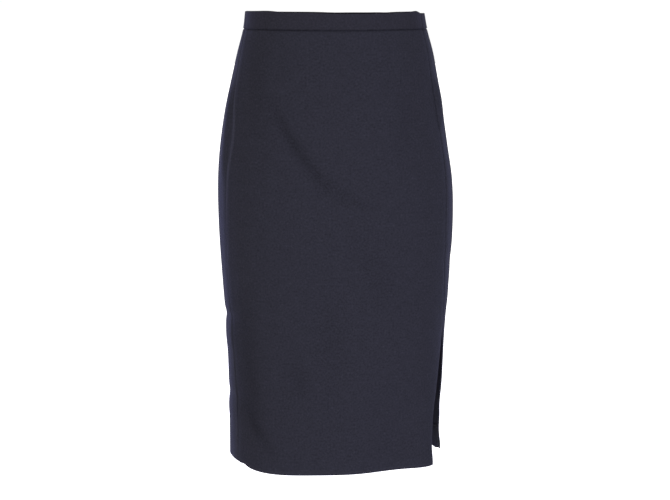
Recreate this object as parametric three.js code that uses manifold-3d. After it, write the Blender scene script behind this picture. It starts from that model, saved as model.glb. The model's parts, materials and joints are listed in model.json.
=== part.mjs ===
// A navy pencil skirt, worn and hollow, built from the pieces that a maker cuts: one front panel, two back
// panels, a waistband in three lengths, and a concealed zip in the centre-back seam with its slider and pull.
// The left side seam is left open at the bottom as a slit.
//
// Millimetres, +Z up. The origin is the middle of the waist, level with the top edge at the centre front.
// The front faces -Y. Left and right are the wearer's, so the left side is +X.
import * as THREE from "three";
import { mergeVertices } from "three/addons/utils/BufferGeometryUtils.js";
import Module from "manifold-3d";

const wasm = await Module();
wasm.setup();

// Driving dimensions of the garment
const LENGTH = 680; // finished length at the centre front, waistband included
const BAND_HEIGHT = 25;
const BAND_WALL = 2.4; // doubled cloth with an interfacing
const CLOTH_WALL = 1.2;
const HEM_DEPTH = 35; // the turned-up hem, where the wall is thicker
const HEM_WALL = 2.2;
const HEM_BLEND = 8; // the wall thickens over this distance above and below the hem's top
const SEAM_GAP = 0.3;
const SLIT_LENGTH = 210;

// Grid of each panel's wall: columns across, rows down
const FRONT_COLUMNS = 36;
const BACK_COLUMNS = 22;
const PANEL_ROWS = 30;
const BAND_ROWS = 2;

// The skirt's outline: at each level below the waist a rounded ring, with its half widths to the wearer's
// left and right and its half depths to the front and back
const RINGS = [
  { z: 0, left: 133.5, right: 134.3, front: 97, back: 94 },
  { z: -25, left: 137.8, right: 137.4, front: 99, back: 97 },
  { z: -60, left: 147.5, right: 146.5, front: 103, back: 105 },
  { z: -100, left: 155.1, right: 155.5, front: 108, back: 116 },
  { z: -150, left: 163.2, right: 166.6, front: 113, back: 127 },
  { z: -200, left: 170.9, right: 174.2, front: 116, back: 133 },
  { z: -250, left: 177.6, right: 177.7, front: 117.5, back: 134 },
  { z: -320, left: 179.5, right: 176.8, front: 118, back: 131 },
  { z: -400, left: 174.8, right: 172.2, front: 118, back: 127 },
  { z: -480, left: 168.7, right: 166.8, front: 118.5, back: 124 },
  { z: -560, left: 165.2, right: 164, front: 119, back: 122 },
  { z: -620, left: 160.8, right: 163.2, front: 120, back: 121 },
  { z: -680, left: 163.2, right: 163.3, front: 121, back: 120 },
];

// How square the front and back halves of those rings are, where 2 is an ellipse, and how far out the side
// seams lie, as a share of the half width
const SHAPES = [
  { z: 0, frontSquare: 2.1, backSquare: 2.1, leftSeam: 0.95, rightSeam: 0.985 },
  { z: -25, frontSquare: 2.1, backSquare: 2.1, leftSeam: 0.94, rightSeam: 0.97 },
  { z: -60, frontSquare: 2.12, backSquare: 2.12, leftSeam: 0.928, rightSeam: 0.955 },
  { z: -100, frontSquare: 2.15, backSquare: 2.15, leftSeam: 0.922, rightSeam: 0.938 },
  { z: -150, frontSquare: 2.18, backSquare: 2.18, leftSeam: 0.925, rightSeam: 0.91 },
  { z: -200, frontSquare: 2.2, backSquare: 2.2, leftSeam: 0.935, rightSeam: 0.905 },
  { z: -250, frontSquare: 2.24, backSquare: 2.2, leftSeam: 0.928, rightSeam: 0.908 },
  { z: -320, frontSquare: 2.28, backSquare: 2.2, leftSeam: 0.92, rightSeam: 0.915 },
  { z: -400, frontSquare: 2.32, backSquare: 2.2, leftSeam: 0.94, rightSeam: 0.93 },
  { z: -480, frontSquare: 2.38, backSquare: 2.2, leftSeam: 0.965, rightSeam: 0.93 },
  { z: -560, frontSquare: 2.45, backSquare: 2.2, leftSeam: 0.965, rightSeam: 0.92 },
  { z: -620, frontSquare: 2.5, backSquare: 2.2, leftSeam: 0.965, rightSeam: 0.905 },
  { z: -680, frontSquare: 2.55, backSquare: 2.2, leftSeam: 0.965, rightSeam: 0.9 },
];

// How the cloth hangs away from those rings
const WAIST_LIFT_SIDE = 2.4; // the top edge rises this much from the centre front to the sides
const WAIST_LIFT_BACK = 1.5;
const WAIST_LIFT_REACH = 120; // and the rise has faded out this far down
const LEFT_BAND_DIP = 2.6; // the band's back length sits lower where it starts at the left side seam
const LEFT_BAND_DIP_REACH = 40;
const HEM_RISE_BACK = 6; // the seat draws the hem up behind
const HEM_RISE_REACH = 260;
const SIDE_HITCH = 11; // the right side draws the hem up, most of all a little behind its seam
const SIDE_HITCH_REACH = 50;
const SIDE_HITCH_BEHIND = 0.2; // radians behind the seam
const SLIT_HITCH = 7; // the back's free corner at the slit hangs a little higher still
const SLIT_HITCH_REACH = 26;
const FRONT_EDGE_DRAW = 0.058; // how far in the front's free edge swings, as a share of the half width
const FRONT_EDGE_FLATTEN = 18; // and how much flatter the front hangs beside it
const FLATTEN_FROM = 0.42; // from this share of the way across the front
const FLATTEN_POWER = 1.4; // and most of all past the middle of that stretch
const BACK_EDGE_TURN = THREE.MathUtils.degToRad(17.5); // how far the back's free edge moves round to the back
const BACK_EDGE_TURN_POWER = 0.6; // the turn comes mostly near the slit's top
const BACK_EDGE_BELLY = 9; // the back panel bellies out with the cloth that this frees

// The largest creases, as soft troughs from one end to the other on the front or the back
const CREASES = [
  { side: "front", fromX: -92, fromZ: -140, toX: -30, toZ: -232, width: 17, depth: 3.4 },
  { side: "front", fromX: -34, fromZ: -226, toX: 46, toZ: -284, width: 17, depth: 2.6 },
  { side: "front", fromX: -138, fromZ: -592, toX: -104, toZ: -642, width: 13, depth: 3 },
  { side: "front", fromX: -58, fromZ: -522, toX: -52, toZ: -562, width: 14, depth: 1.6 },
  { side: "back", fromX: 96, fromZ: -262, toX: 34, toZ: -306, width: 17, depth: 3.2 },
  { side: "back", fromX: -104, fromZ: -238, toX: -48, toZ: -292, width: 17, depth: 2.8 },
  { side: "back", fromX: -74, fromZ: -480, toX: -40, toZ: -560, width: 16, depth: 2.2 },
  { side: "back", fromX: 64, fromZ: -420, toX: 92, toZ: -520, width: 16, depth: 2.4 },
];

const CREASE_END = 0.12; // a crease keeps a little of its depth at its ends

// Zip in the centre back
const ZIP_BOTTOM = -205;
const ZIP_TOP = -2;
const TAPE_WIDTH = 11;
const TAPE_WALL = 1;
const STRIP_HEIGHTS = [-14, -26, -34, -50, -70, -90, -115, -140, -165, -185]; // rows of the tapes and chain
const UNDER_BAND = { from: 26, to: 34 }; // the depths over which they step out, past the band's thicker wall
const ZIP_OPENING = 1.4; // between the two ends of the band, where the slider's neck comes through
const CHAIN_WIDTH = 3.6;
const CHAIN_DEPTH = 1.6;
const CHAIN_SPACE = 0.7; // between the slider and the chain below it
const CHAIN_END = 3; // the chain stops this much above the end of its tapes
const HINGE_Z = -7.5;
const SLIDER = { top: 3.5, bottom: -6.5, width: 6.4, depth: 2.6, neck: 0.8 }; // heights from the hinge
const SHOULDER = { across: 1.5, down: 2, tail: 0.6 }; // its rounded top, and its tail's share of the width
const HINGE_OUT = 2.6; // how far the pull's hinge lies outside the band
const BAIL = { outer: 2.3, inner: 1.3 };
const PULL = { bar: 0.6, slotHalf: 1.3, slotEnd: 3.6, legHalf: 2.7, tipHalf: 3.4, length: 22, thick: 1.2 };
const PULL_REST = THREE.MathUtils.degToRad(2.5); // how far its tip has dropped in towards the cloth

const CURVE_STEPS = 8; // facets of each arc of the metal pieces
const ARC_STEPS = 240; // how finely a ring is measured before it is cut into equal columns

const COLOURS = { cloth: 0x2f2f3a, band: 0x2e2e39, tape: 0x23232c, coil: 0x1d1d25, metal: 0x2b2b33 };
const QUARTER = Math.PI / 2;

// A smooth value of one column of the two tables at any height
function level(column, z) {
  const rows = column in RINGS[0] ? RINGS : SHAPES;
  if (z >= rows[0].z) return rows[0][column];
  const last = rows.length - 1;
  if (z <= rows[last].z) return rows[last][column];
  let i = 0;
  while (z < rows[i + 1].z) i++;
  const slope = (k) => {
    const a = rows[Math.max(k - 1, 0)];
    const b = rows[Math.min(k + 1, last)];
    return (b[column] - a[column]) / (b.z - a.z);
  };
  const span = rows[i + 1].z - rows[i].z;
  const t = (z - rows[i].z) / span;
  const before = rows[i][column] * (1 + 2 * t) * (1 - t) ** 2 + rows[i + 1][column] * t * t * (3 - 2 * t);
  return before + span * (slope(i) * t * (1 - t) ** 2 - slope(i + 1) * t * t * (1 - t));
}

// A point of the plain ring at a height. The angle is 0 at the centre front and a quarter turn at the left.
function ringPoint(z, angle) {
  const side = Math.sin(angle);
  const ahead = Math.cos(angle);
  const square = level(ahead > 0 ? "frontSquare" : "backSquare", z);
  const halfWidth = level(side > 0 ? "left" : "right", z);
  const halfDepth = level(ahead > 0 ? "front" : "back", z);
  const x = halfWidth * Math.sign(side) * Math.abs(side) ** (2 / square);
  const y = -halfDepth * Math.sign(ahead) * Math.abs(ahead) ** (2 / square);
  return new THREE.Vector2(x, y);
}

// The angle on the front half of a ring at which the ring is this share of its half width out
function angleOfShare(share, z) {
  return Math.asin(share ** (level("frontSquare", z) / 2));
}

// How far the slit has opened at a height, from 0 at its top to 1 at the hem
function slitShare(z) {
  return THREE.MathUtils.clamp((-z - (LENGTH - SLIT_LENGTH)) / SLIT_LENGTH, 0, 1);
}

const rightSeamAngle = (z) => -angleOfShare(level("rightSeam", z), z);
const leftSeamAngle = (z) => angleOfShare(level("leftSeam", z), z);

function frontEdgeAngle(z) {
  const drawnIn = FRONT_EDGE_DRAW * Math.sin(QUARTER * slitShare(z));
  return angleOfShare(level("leftSeam", z) - drawnIn, z);
}

const backEdgeAngle = (z) => leftSeamAngle(z) + BACK_EDGE_TURN * slitShare(z) ** BACK_EDGE_TURN_POWER;

// Angles at equal steps of arc length along one ring, between two angles, with a gap left at each end
function stepAngles(z, from, to, columns, gapFrom, gapTo) {
  const angles = Array.from({ length: ARC_STEPS + 1 }, (_, i) => from + ((to - from) * i) / ARC_STEPS);
  const reached = [0];
  for (let i = 1; i <= ARC_STEPS; i++) {
    reached.push(reached[i - 1] + ringPoint(z, angles[i]).distanceTo(ringPoint(z, angles[i - 1])));
  }
  const last = reached[ARC_STEPS] - gapTo;
  const steps = [];
  let i = 0;
  for (let column = 0; column <= columns; column++) {
    const wanted = gapFrom + ((last - gapFrom) * column) / columns;
    while (i < ARC_STEPS - 1 && reached[i + 1] < wanted) i++;
    const t = (wanted - reached[i]) / (reached[i + 1] - reached[i]);
    steps.push(THREE.MathUtils.lerp(angles[i], angles[i + 1], t));
  }
  return steps;
}

// How deep the creases press in at a point of the front or the back
function creaseDepth(side, x, z) {
  let depth = 0;
  for (const crease of CREASES.filter((row) => row.side === side)) {
    const along = new THREE.Vector2(crease.toX - crease.fromX, crease.toZ - crease.fromZ);
    const here = new THREE.Vector2(x - crease.fromX, z - crease.fromZ);
    const share = THREE.MathUtils.clamp(here.dot(along) / along.lengthSq(), 0, 1);
    const aside = here.sub(along.multiplyScalar(share)).length();
    const taper = Math.sin(Math.PI * THREE.MathUtils.lerp(CREASE_END, 1 - CREASE_END, share));
    depth += crease.depth * taper * Math.exp(-((aside / crease.width) ** 2));
  }
  return depth;
}

// How far the whole waist is lifted at an angle
function waistLift(angle) {
  const sideways = Math.sin(angle) ** 2;
  if (Math.cos(angle) > 0) return WAIST_LIFT_SIDE * sideways;
  return WAIST_LIFT_BACK + (WAIST_LIFT_SIDE - WAIST_LIFT_BACK) * sideways;
}

// How far the hem is drawn up at an angle
function hemRise(angle, piece) {
  const behind = HEM_RISE_BACK * THREE.MathUtils.smoothstep(-Math.cos(angle), 0.1, 1);
  const ringRadius = level("front", -LENGTH);
  const fromRightSide = (angle - rightSeamAngle(-LENGTH) + SIDE_HITCH_BEHIND) * ringRadius;
  const hitch = SIDE_HITCH * Math.exp(-((fromRightSide / SIDE_HITCH_REACH) ** 2));
  const fromSlit = (angle - backEdgeAngle(-LENGTH)) * ringRadius;
  const slitHitch = piece === "back" ? SLIT_HITCH * Math.exp(-((fromSlit / SLIT_HITCH_REACH) ** 2)) : 0;
  return behind + hitch + slitHitch;
}

// One point of a piece's outer face
function clothPoint(piece, z, angle, share) {
  const flat = ringPoint(z, angle);
  const open = slitShare(z);
  const smoothOpen = open * open * (3 - 2 * open);
  const point = new THREE.Vector3(flat.x, flat.y, z);
  if (piece === "front" && share > FLATTEN_FROM) {
    const across = (share - FLATTEN_FROM) / (1 - FLATTEN_FROM);
    point.y += FRONT_EDGE_FLATTEN * smoothOpen * Math.sin(Math.PI * across ** FLATTEN_POWER) ** 2;
  }
  if (piece === "back" && angle > 0) {
    point.y += BACK_EDGE_BELLY * smoothOpen * Math.sin(angle) ** 2 * (1 - share) * share * 4;
  }
  const nearWaist = THREE.MathUtils.smoothstep(z, -WAIST_LIFT_REACH, 0);
  const nearHem = THREE.MathUtils.smoothstep(-z, LENGTH - HEM_RISE_REACH, LENGTH);
  point.z += waistLift(angle) * nearWaist + hemRise(angle, piece) * nearHem;
  return point;
}

// A closed wall between an outer grid of points and the same grid moved in along its normals.
// Rows run down the piece, and columns run anticlockwise as seen from above.
function wallGeometry(outer, thicknessAt, pressAt) {
  const rows = outer.length;
  const columns = outer[0].length;
  // The direction of a line of points at one of them. At an end it leans on two points, so that the walls of
  // two pieces that meet there end side by side.
  const along = (count, i, at) => {
    if (count > 2 && i === 0) return at(1).clone().multiplyScalar(4).addScaledVector(at(0), -3).sub(at(2));
    const end = count - 1;
    if (count > 2 && i === end) {
      return at(end).clone().multiplyScalar(3).addScaledVector(at(end - 1), -4).add(at(end - 2));
    }
    return at(Math.min(i + 1, end)).clone().sub(at(Math.max(i - 1, 0)));
  };
  const normalAt = (r, c) => {
    const down = along(rows, r, (i) => outer[i][c]);
    const across = along(columns, c, (i) => outer[r][i]);
    return down.cross(across).normalize();
  };
  const positions = [];
  const normals = outer.map((row, r) => row.map((_, c) => normalAt(r, c)));
  const push = (r, c, inwards) => {
    const moved = outer[r][c].clone().addScaledVector(normals[r][c], -inwards - pressAt(outer[r][c]));
    positions.push(moved.x, moved.y, moved.z);
  };
  for (let r = 0; r < rows; r++) for (let c = 0; c < columns; c++) push(r, c, 0);
  for (let r = 0; r < rows; r++) for (let c = 0; c < columns; c++) push(r, c, thicknessAt(outer[r][c].z));
  const index = [];
  const quad = (a, b, c, d) => index.push(a, b, c, a, c, d);
  const out = (r, c) => r * columns + c;
  const into = (r, c) => rows * columns + r * columns + c;
  for (let r = 0; r < rows - 1; r++) {
    for (let c = 0; c < columns - 1; c++) {
      quad(out(r, c), out(r + 1, c), out(r + 1, c + 1), out(r, c + 1));
      quad(into(r, c), into(r, c + 1), into(r + 1, c + 1), into(r + 1, c));
    }
    quad(out(r, 0), into(r, 0), into(r + 1, 0), out(r + 1, 0));
    quad(out(r, columns - 1), out(r + 1, columns - 1), into(r + 1, columns - 1), into(r, columns - 1));
  }
  for (let c = 0; c < columns - 1; c++) {
    quad(out(0, c), out(0, c + 1), into(0, c + 1), into(0, c));
    quad(out(rows - 1, c), into(rows - 1, c), into(rows - 1, c + 1), out(rows - 1, c + 1));
  }
  const geometry = new THREE.BufferGeometry();
  geometry.setAttribute("position", new THREE.Float32BufferAttribute(positions, 3));
  geometry.setIndex(index);
  geometry.computeVertexNormals();
  return geometry;
}

function cloth(colour) {
  return new THREE.MeshStandardMaterial({ color: colour, roughness: 0.9, metalness: 0 });
}

function named(name, geometry, material) {
  const mesh = new THREE.Mesh(geometry, material);
  mesh.name = name;
  return mesh;
}

const heights = (top, bottom, rows) => {
  return Array.from({ length: rows + 1 }, (_, r) => THREE.MathUtils.lerp(top, bottom, r / rows));
};

const HALF_GAP = SEAM_GAP / 2;

// A panel of the skirt from just under the band to the hem, between two edges given as angles
function panel(name, piece, columns, fromAngle, toAngle) {
  const outer = heights(-BAND_HEIGHT - SEAM_GAP, -LENGTH, PANEL_ROWS).map((z) => {
    const angles = stepAngles(z, fromAngle(z), toAngle(z), columns, HALF_GAP, HALF_GAP);
    return angles.map((angle, c) => clothPoint(piece, z, angle, c / columns));
  });
  const hemDrop = LENGTH - HEM_DEPTH;
  const thickness = (z) => {
    const turnedUp = THREE.MathUtils.smoothstep(-z, hemDrop - HEM_BLEND, hemDrop + HEM_BLEND);
    return THREE.MathUtils.lerp(CLOTH_WALL, HEM_WALL, turnedUp);
  };
  const press = (point) => creaseDepth(piece, point.x, point.z);
  return named(name, wallGeometry(outer, thickness, press), cloth(COLOURS.cloth));
}

// A length of the waistband, with its gaps to its neighbours. Its top edge follows the waist, and may dip
// where it starts.
function band(name, piece, columns, fromAngle, toAngle, gaps, dip) {
  const outer = heights(0, -BAND_HEIGHT, BAND_ROWS).map((z) => {
    const angles = stepAngles(z, fromAngle(z), toAngle(z), columns, gaps.from, gaps.to);
    const start = ringPoint(z, angles[0]);
    return angles.map((angle, c) => {
      const point = clothPoint(piece, z, angle, c / columns);
      const aside = ringPoint(z, angle).distanceTo(start);
      point.z -= dip * Math.exp(-((aside / LEFT_BAND_DIP_REACH) ** 2)) * (1 + z / BAND_HEIGHT);
      return point;
    });
  });
  return named(name, wallGeometry(outer, () => BAND_WALL, () => 0), cloth(COLOURS.band));
}

// The back's outer face near its middle, where the zip lies
function backFace(x, z) {
  const square = level("backSquare", z);
  const halfWidth = level(x > 0 ? "left" : "right", z);
  return level("back", z) * (1 - (Math.abs(x) / halfWidth) ** square) ** (1 / square);
}

// How far inside that face a strip lies so that it clears the band or the panel by the seam gap
function insideWall(z) {
  const underBand = THREE.MathUtils.clamp((-z - UNDER_BAND.from) / (UNDER_BAND.to - UNDER_BAND.from), 0, 1);
  return THREE.MathUtils.lerp(BAND_WALL, CLOTH_WALL, underBand) + SEAM_GAP;
}

// A thin strip on the inside of the centre back, between two offsets from the middle
function backStrip(name, fromX, toX, top, bottom, extraIn, thick, colour) {
  const columns = 2;
  const levels = [top, ...STRIP_HEIGHTS.filter((z) => z < top - 1 && z > bottom + 1), bottom];
  const outer = levels.map((z) => {
    return Array.from({ length: columns + 1 }, (_, c) => {
      const x = THREE.MathUtils.lerp(fromX, toX, c / columns);
      return new THREE.Vector3(x, backFace(x, z) - insideWall(z) - extraIn, z);
    });
  });
  return named(name, wallGeometry(outer, () => thick, () => 0), cloth(colour));
}

function solid(geometry) {
  const bare = geometry.clone();
  bare.deleteAttribute("normal");
  bare.deleteAttribute("uv");
  const merged = mergeVertices(bare, 1e-4);
  const vertProperties = new Float32Array(merged.attributes.position.array);
  const triVerts = new Uint32Array(merged.index.array);
  return new wasm.Manifold(new wasm.Mesh({ numProp: 3, vertProperties, triVerts }));
}

function geometryOf(manifold) {
  const mesh = manifold.getMesh();
  const geometry = new THREE.BufferGeometry();
  geometry.setAttribute("position", new THREE.Float32BufferAttribute(mesh.vertProperties, 3));
  geometry.setIndex(new THREE.Uint32BufferAttribute(mesh.triVerts, 1));
  geometry.computeVertexNormals();
  return geometry;
}

// The band leans in towards the waist, and the slider and its pull lean with it
const BAND_LEAN = Math.atan((backFace(0, -BAND_HEIGHT) - backFace(0, 0)) / BAND_HEIGHT);

// Sets a piece drawn with the band's outer face at y 0 and the hinge's height at z 0 on the centre back
function setOnBand(mesh, out, lean) {
  mesh.position.set(0, backFace(0, HINGE_Z) + out * Math.cos(BAND_LEAN), HINGE_Z + out * Math.sin(BAND_LEAN));
  mesh.rotation.x = lean;
  return mesh;
}

function extruded(shape, depth) {
  return new THREE.ExtrudeGeometry(shape, { depth, bevelEnabled: false, curveSegments: CURVE_STEPS });
}

// The slider: a body on the chain inside the skirt, and a thin neck that comes out between the ends of the
// band and finishes in a round bail
function zipSlider() {
  const outerFace = -BAND_WALL - SEAM_GAP - TAPE_WALL - SEAM_GAP;
  const bodyShape = new THREE.Shape();
  const half = SLIDER.width / 2;
  bodyShape.moveTo(-half * SHOULDER.tail, SLIDER.bottom);
  bodyShape.lineTo(half * SHOULDER.tail, SLIDER.bottom);
  bodyShape.lineTo(half, SLIDER.top - SHOULDER.down);
  bodyShape.quadraticCurveTo(half, SLIDER.top, half - SHOULDER.across, SLIDER.top);
  bodyShape.lineTo(SHOULDER.across - half, SLIDER.top);
  bodyShape.quadraticCurveTo(-half, SLIDER.top, -half, SLIDER.top - SHOULDER.down);
  bodyShape.closePath();
  const body = extruded(bodyShape, SLIDER.depth);
  body.rotateX(QUARTER);
  body.translate(0, outerFace, 0);

  const neckShape = new THREE.Shape();
  const neckIn = outerFace - 1;
  neckShape.moveTo(neckIn, -BAIL.outer);
  neckShape.lineTo(HINGE_OUT, -BAIL.outer);
  neckShape.absarc(HINGE_OUT, 0, BAIL.outer, -QUARTER, QUARTER, false);
  neckShape.lineTo(neckIn, BAIL.outer);
  neckShape.closePath();
  const hole = new THREE.Path();
  hole.absarc(HINGE_OUT, 0, BAIL.inner, 0, Math.PI * 2, true);
  neckShape.holes.push(hole);
  const neck = extruded(neckShape, SLIDER.neck);
  // the outline's two axes become Y and Z, and its thickness becomes X
  neck.applyMatrix4(new THREE.Matrix4().set(0, 0, 1, -SLIDER.neck / 2, 1, 0, 0, 0, 0, 1, 0, 0, 0, 0, 0, 1));
  const joined = solid(body).add(solid(neck));
  const metal = new THREE.MeshStandardMaterial({ color: COLOURS.metal, roughness: 0.45, metalness: 0.6 });
  return setOnBand(named("zip_slider", geometryOf(joined), metal), 0, BAND_LEAN);
}

// The pull: a drop-shaped tab with a slot, and the bar above the slot runs through the slider's bail.
// It is drawn round its hinge, hanging straight down, and then set in place.
function zipPull() {
  const outline = new THREE.Shape();
  outline.moveTo(-PULL.legHalf, PULL.bar);
  outline.lineTo(-PULL.legHalf, -PULL.slotEnd - 1);
  outline.lineTo(-PULL.tipHalf, PULL.tipHalf - PULL.length);
  outline.absarc(0, PULL.tipHalf - PULL.length, PULL.tipHalf, Math.PI, 2 * Math.PI, false);
  outline.lineTo(PULL.legHalf, -PULL.slotEnd - 1);
  outline.lineTo(PULL.legHalf, PULL.bar);
  outline.closePath();
  const slot = new THREE.Path();
  slot.moveTo(-PULL.slotHalf, -PULL.bar);
  slot.lineTo(PULL.slotHalf, -PULL.bar);
  slot.lineTo(PULL.slotHalf, -PULL.slotEnd);
  slot.lineTo(-PULL.slotHalf, -PULL.slotEnd);
  slot.closePath();
  outline.holes.push(slot);
  const tab = extruded(outline, PULL.thick);
  tab.rotateX(QUARTER);
  tab.translate(0, PULL.thick / 2, 0);
  const metal = new THREE.MeshStandardMaterial({ color: COLOURS.metal, roughness: 0.4, metalness: 0.7 });
  return setOnBand(named("zip_pull", tab, metal), HINGE_OUT, BAND_LEAN - PULL_REST);
}

const middleFromLeft = () => Math.PI;
const middleFromRight = () => -Math.PI;
const halfOpening = ZIP_OPENING / 2;
const sideGaps = { from: HALF_GAP, to: HALF_GAP };
const leftGaps = { from: HALF_GAP, to: halfOpening };
const rightGaps = { from: halfOpening, to: HALF_GAP };
const tapeEdge = halfOpening + TAPE_WIDTH;
const halfChain = CHAIN_WIDTH / 2;
const chainIn = TAPE_WALL + SEAM_GAP;
const chainTop = HINGE_Z + SLIDER.bottom - CHAIN_SPACE;
const chainBottom = ZIP_BOTTOM + CHAIN_END;

const skirt = new THREE.Group();
skirt.add(
  panel("front_panel", "front", FRONT_COLUMNS, rightSeamAngle, frontEdgeAngle),
  panel("back_panel_left", "back", BACK_COLUMNS, backEdgeAngle, middleFromLeft),
  panel("back_panel_right", "back", BACK_COLUMNS, middleFromRight, rightSeamAngle),
  band("waistband_front", "front", FRONT_COLUMNS, rightSeamAngle, leftSeamAngle, sideGaps, 0),
  band("waistband_back_left", "back", BACK_COLUMNS, leftSeamAngle, middleFromLeft, leftGaps, LEFT_BAND_DIP),
  band("waistband_back_right", "back", BACK_COLUMNS, middleFromRight, rightSeamAngle, rightGaps, 0),
  backStrip("zip_tape_left", tapeEdge, halfOpening, ZIP_TOP, ZIP_BOTTOM, 0, TAPE_WALL, COLOURS.tape),
  backStrip("zip_tape_right", -halfOpening, -tapeEdge, ZIP_TOP, ZIP_BOTTOM, 0, TAPE_WALL, COLOURS.tape),
  backStrip("zip_chain", halfChain, -halfChain, chainTop, chainBottom, chainIn, CHAIN_DEPTH, COLOURS.coil),
  zipSlider(),
  zipPull(),
);

export default skirt;
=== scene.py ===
"""A navy pencil skirt: its cloth panels, waistband and concealed zip, round a fixed frame."""
import json
import math
from collections import namedtuple

import bmesh
import bpy
import numpy as np
from bpy.props import FloatProperty, FloatVectorProperty, IntProperty, PointerProperty
from mathutils import Matrix, Vector


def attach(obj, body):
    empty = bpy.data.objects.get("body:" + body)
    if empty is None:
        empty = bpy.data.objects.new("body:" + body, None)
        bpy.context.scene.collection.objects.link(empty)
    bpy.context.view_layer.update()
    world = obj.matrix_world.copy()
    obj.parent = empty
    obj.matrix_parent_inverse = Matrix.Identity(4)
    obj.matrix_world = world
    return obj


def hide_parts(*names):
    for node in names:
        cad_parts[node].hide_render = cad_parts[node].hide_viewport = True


bl_info = {
    "name": "Pencil skirt",
    "version": (1, 0, 0),
    "blender": (4, 5, 0),
    "location": "View3D > Sidebar > Skirt",
    "description": "Makes a navy pencil skirt with a waistband, a side slit and a concealed zip",
    "category": "Add Mesh",
}

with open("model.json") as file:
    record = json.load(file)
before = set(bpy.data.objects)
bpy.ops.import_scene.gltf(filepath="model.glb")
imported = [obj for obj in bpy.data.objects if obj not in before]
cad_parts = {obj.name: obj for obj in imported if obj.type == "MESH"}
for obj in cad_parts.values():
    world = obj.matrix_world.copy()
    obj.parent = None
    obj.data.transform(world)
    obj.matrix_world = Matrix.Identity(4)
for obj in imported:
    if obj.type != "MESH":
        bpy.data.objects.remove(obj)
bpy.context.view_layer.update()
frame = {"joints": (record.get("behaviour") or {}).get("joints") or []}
HINGE = Vector(frame["joints"][0]["pos_m"])

# Shapes are worked out in millimetres, like the frame's own sizes, and turned into metres as meshes are made
MM = 0.001

# The outline: at each level below the waist a rounded ring, with half widths and half depths, how square its
# front and back halves are (2 is an ellipse) and how far out the side seams lie, as a share of the half width
Ring = namedtuple("Ring", "z left right front back front_square back_square left_seam right_seam")
RINGS = (
    Ring(0, 133.5, 134.3, 97, 94, 2.1, 2.1, 0.95, 0.985),
    Ring(-25, 137.8, 137.4, 99, 97, 2.1, 2.1, 0.94, 0.97),
    Ring(-60, 147.5, 146.5, 103, 105, 2.12, 2.12, 0.928, 0.955),
    Ring(-100, 155.1, 155.5, 108, 116, 2.15, 2.15, 0.922, 0.938),
    Ring(-150, 163.2, 166.6, 113, 127, 2.18, 2.18, 0.925, 0.91),
    Ring(-200, 170.9, 174.2, 116, 133, 2.2, 2.2, 0.935, 0.905),
    Ring(-250, 177.6, 177.7, 117.5, 134, 2.24, 2.2, 0.928, 0.908),
    Ring(-320, 179.5, 176.8, 118, 131, 2.28, 2.2, 0.92, 0.915),
    Ring(-400, 174.8, 172.2, 118, 127, 2.32, 2.2, 0.94, 0.93),
    Ring(-480, 168.7, 166.8, 118.5, 124, 2.38, 2.2, 0.965, 0.93),
    Ring(-560, 165.2, 164, 119, 122, 2.45, 2.2, 0.965, 0.92),
    Ring(-620, 160.8, 163.2, 120, 121, 2.5, 2.2, 0.965, 0.905),
    Ring(-680, 163.2, 163.3, 121, 120, 2.55, 2.2, 0.965, 0.9),
)

# How the cloth hangs away from those rings, in millimetres
WAIST_LIFT_SIDE = 2.4
WAIST_LIFT_BACK = 1.5
WAIST_LIFT_REACH = 120
LEFT_BAND_DIP = 2.6
LEFT_BAND_DIP_SPAN = (119, 128)
HEM_RISE_BACK = 6
HEM_RISE_REACH = 260
SIDE_HITCH = 11
SIDE_HITCH_REACH = 50
SIDE_HITCH_BEHIND = 0.2
SLIT_HITCH = 7
SLIT_HITCH_REACH = 26
FRONT_EDGE_DRAW = 0.055
FRONT_EDGE_FLATTEN = 18
FLATTEN_FROM = 0.42
FLATTEN_POWER = 1.4
BACK_EDGE_TURN = math.radians(17.5)
BACK_EDGE_TURN_POWER = 0.6
BACK_EDGE_BELLY = 9

# Creases, as soft troughs along a bent line on the front or the back, with a raised lip on one side. x runs
# to the wearer's left, and z up from the waist.
Crease = namedtuple("Crease", "side start bend end width depth lip")
CREASES = (
    Crease("front", (-93, -136), (-62, -196), (-20, -246), 8.8, 2.5, 0.25),
    Crease("front", (-34, -228), (-6, -266), (52, -282), 12, 1.4, 0.2),
    Crease("front", (-122, -46), (-117, -120), (-107, -208), 11, 0.8, 0.2),
    Crease("front", (-62, -512), (-58, -538), (-50, -562), 12, 1.4, 0.2),
    Crease("front", (-139, -574), (-127, -612), (-99, -646), 9.5, 1.9, 0.25),
    Crease("front", (-143, -420), (-137, -530), (-124, -612), 15, 2.0, 0.2),
    Crease("front", (143, -84), (147, -128), (152, -168), 4.5, 0.9, 0.3),
    Crease("front", (30, -330), (58, -372), (72, -430), 22, 0.9, 0.2),
    Crease("front", (96, -110), (104, -160), (92, -214), 16, 0.7, 0.2),
    Crease("front", (-20, -420), (-8, -478), (-16, -540), 24, 0.8, 0.2),
    Crease("back", (98, -258), (68, -286), (32, -308), 12, 3.0, 0.35),
    Crease("back", (-106, -234), (-78, -268), (-46, -294), 12, 2.7, 0.35),
    Crease("back", (-76, -476), (-60, -520), (-40, -562), 13, 2.1, 0.3),
    Crease("back", (62, -416), (82, -470), (92, -524), 13, 2.3, 0.3),
    Crease("back", (-30, -318), (10, -332), (44, -326), 14, 1.6, 0.3),
    Crease("back", (-132, -330), (-118, -372), (-96, -402), 12, 1.6, 0.3),
    Crease("back", (128, -130), (122, -180), (106, -224), 12, 1.4, 0.3),
    Crease("back", (120, -560), (112, -600), (94, -640), 12, 1.8, 0.3),
)
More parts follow.
